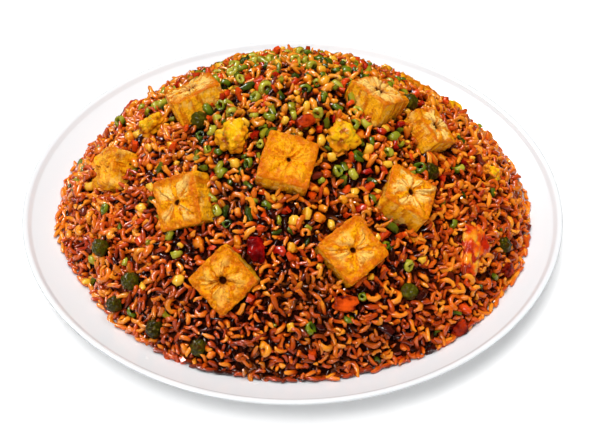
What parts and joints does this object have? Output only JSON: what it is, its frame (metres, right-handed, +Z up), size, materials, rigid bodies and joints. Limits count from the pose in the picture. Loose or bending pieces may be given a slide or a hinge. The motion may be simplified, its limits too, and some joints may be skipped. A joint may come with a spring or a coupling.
{
  "type": "plate of paneer fried rice",
  "caption": "Tall mound of spiced fried rice with golden paneer cubes, peas, peppers and herbs, heaped on a round white plate.",
  "frame": {"origin": "middle of the plate's foot, on the surface that it rests on", "axes": "+Z up through the top of the heap; -Y towards the viewer of the picture; +X to that viewer's right"},
  "size_m": [0.27, 0.27, 0.105],
  "materials": {
    "porcelain": "white glaze, glossy",
    "rice": "orange-brown grains with a wet shine of oil",
    "paneer": "fried golden crust with browned edges",
    "floret": "yellow and crumbly",
    "tomato": "soft, red-orange and wet",
    "pepper": "deep red and shiny",
    "pea": "dark green and shiny"
  },
  "bodies": {
    "root": {"plate": "porcelain", "rice_heap": "rice", "paneer_1": "paneer", "paneer_2": "paneer", "paneer_3": "paneer", "paneer_4": "paneer", "paneer_5": "paneer", "paneer_6": "paneer", "paneer_7": "paneer", "paneer_8": "paneer", "paneer_9": "paneer", "paneer_10": "paneer", "paneer_11": "paneer", "paneer_12": "paneer", "paneer_13": "paneer", "floret_1": "floret", "floret_2": "floret", "floret_3": "floret", "floret_4": "floret", "floret_5": "floret", "floret_6": "floret", "tomato_1": "tomato", "tomato_2": "tomato", "pepper_1": "pepper", "pepper_2": "pepper", "pepper_3": "pepper", "pepper_4": "pepper", "pepper_5": "pepper", "pepper_6": "pepper", "pepper_7": "pepper", "pea_1": "pea", "pea_2": "pea", "pea_3": "pea", "pea_4": "pea", "pea_5": "pea", "pea_6": "pea", "pea_7": "pea", "pea_8": "pea", "pea_9": "pea", "pea_10": "pea", "pea_11": "pea", "pea_12": "pea", "pea_13": "pea"}
  },
  "joints": []
}
